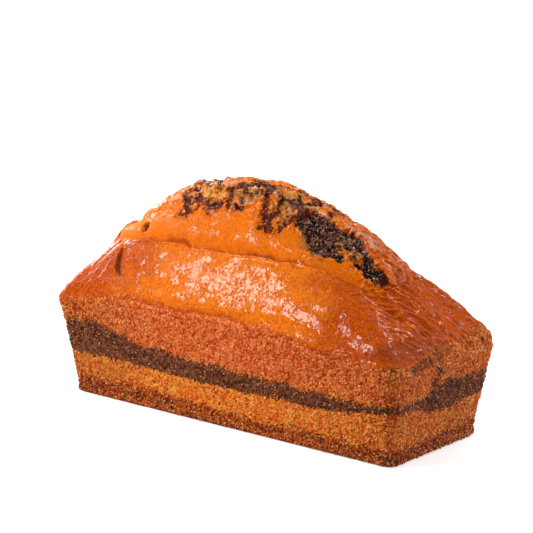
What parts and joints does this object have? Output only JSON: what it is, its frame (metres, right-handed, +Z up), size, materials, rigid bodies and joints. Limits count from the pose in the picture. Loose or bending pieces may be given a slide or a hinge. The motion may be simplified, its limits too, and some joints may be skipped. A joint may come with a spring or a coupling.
{
  "type": "marble loaf cake",
  "caption": "Whole uncut marble loaf cake with tapered tin-baked sides, a glazed domed crust and a marbled crown that has split it along the top.",
  "frame": {"origin": "under the middle of the loaf, on its flat underside", "axes": "+X along the loaf towards its lower end, -Y out of its front long side, +Z up"},
  "size_m": [0.2018, 0.0816, 0.1079],
  "materials": {
    "baked_crust": "browned cake crust: rough crumb on the sides with a dark cocoa band, clear glossy glaze on the domed top"
  },
  "bodies": {
    "root": {"marble_loaf": "baked_crust"}
  },
  "joints": []
}
